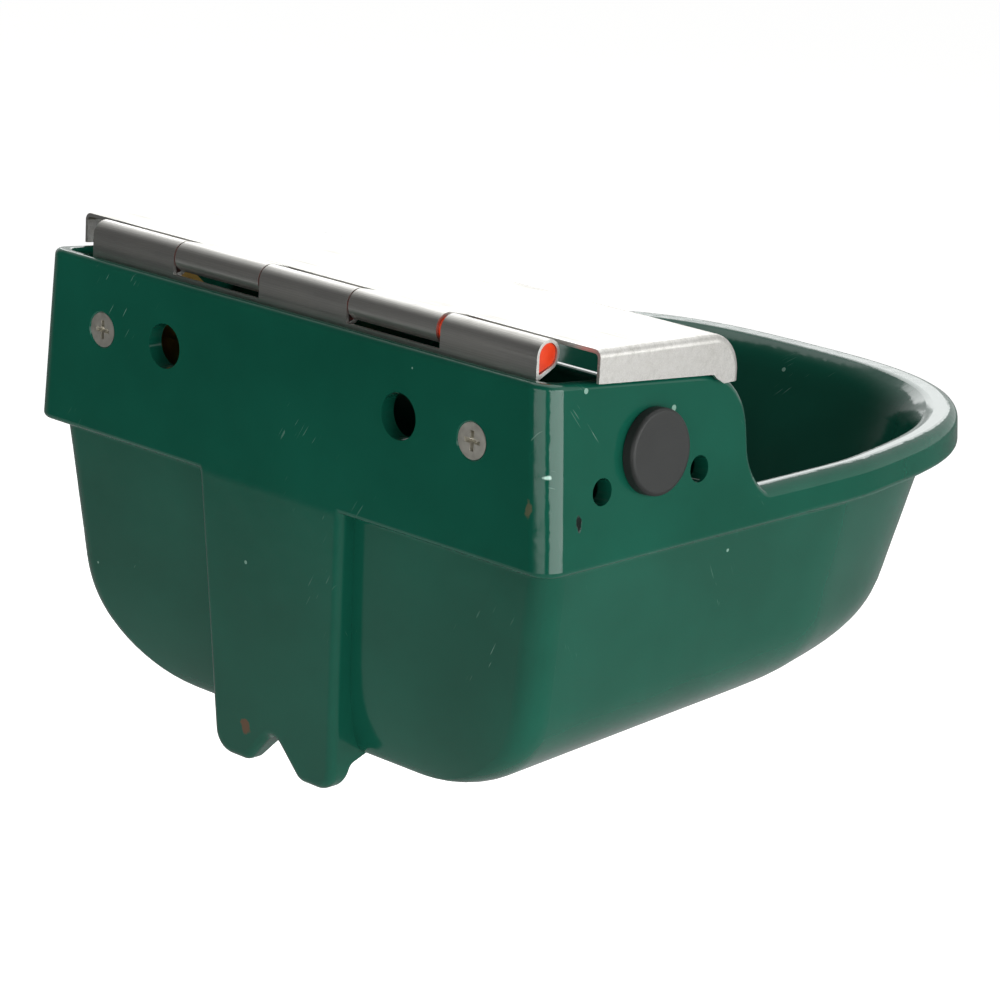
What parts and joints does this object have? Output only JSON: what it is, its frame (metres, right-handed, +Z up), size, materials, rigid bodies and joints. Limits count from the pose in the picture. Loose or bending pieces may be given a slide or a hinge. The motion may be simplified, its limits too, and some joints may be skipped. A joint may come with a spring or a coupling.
{
  "type": "livestock drinking bowl",
  "caption": "Wall-mounted cast drinking bowl for livestock: open trough, hinged sheet-metal cover over a float valve, and a plugged spare inlet.",
  "frame": {"origin": "midway between the two wall-bolt holes, on the face that lies against the wall", "axes": "+Z up, +Y into the wall, +X towards the side with the water inlet; the bowl stands out along -Y"},
  "size_m": [0.241, 0.2618, 0.1591],
  "materials": {
    "enamelled_iron": "glossy enamel",
    "stainless": "brushed",
    "brass": "machined",
    "rubber": "matte",
    "black_plastic": "moulded",
    "red_plastic": "glossy",
    "white_plastic": "satin",
    "float_plastic": "moulded"
  },
  "bodies": {
    "casting": {"bowl_casting": "enamelled_iron", "inlet_plug": "black_plastic", "hinge_leaf": "stainless", "hinge_pin": "red_plastic", "leaf_screws": "stainless", "leaf_washers": "stainless", "leaf_nuts": "stainless", "valve_gasket": "rubber", "valve_body": "brass", "valve_nozzle": "stainless", "valve_screw_washers": "stainless", "valve_screws": "stainless", "valve_nuts": "stainless", "pivot_pin": "stainless", "pivot_clip": "stainless"},
    "cover": {"cover": "stainless"},
    "float_arm": {"float_lever": "brass", "adjust_screw": "stainless", "adjust_nut": "stainless", "float_rod": "stainless", "float": "float_plastic", "float_nuts": "stainless"},
    "piston": {"valve_piston": "white_plastic", "piston_seal": "rubber"}
  },
  "joints": [
    {"name": "cover_hinge", "type": "hinge", "parent": "casting", "child": "cover", "pos_m": [0, -0.01, 0.0269], "axis": [-1, 0, 0], "range_deg": [0, 95]},
    {"name": "float_swing", "type": "hinge", "parent": "casting", "child": "float_arm", "pos_m": [0.06971, -0.045, -0.01954], "axis": [0, 1, 0], "range_deg": [0, 16]},
    {"name": "piston_slide", "type": "slide", "parent": "casting", "child": "piston", "axis": [0.9973, 0, 0.0732], "range_m": [0, 0.0033]}
  ],
  "couplings": [
    {"joint": "piston_slide", "follows": "float_swing", "m_per_rad": 0.0118}
  ]
}
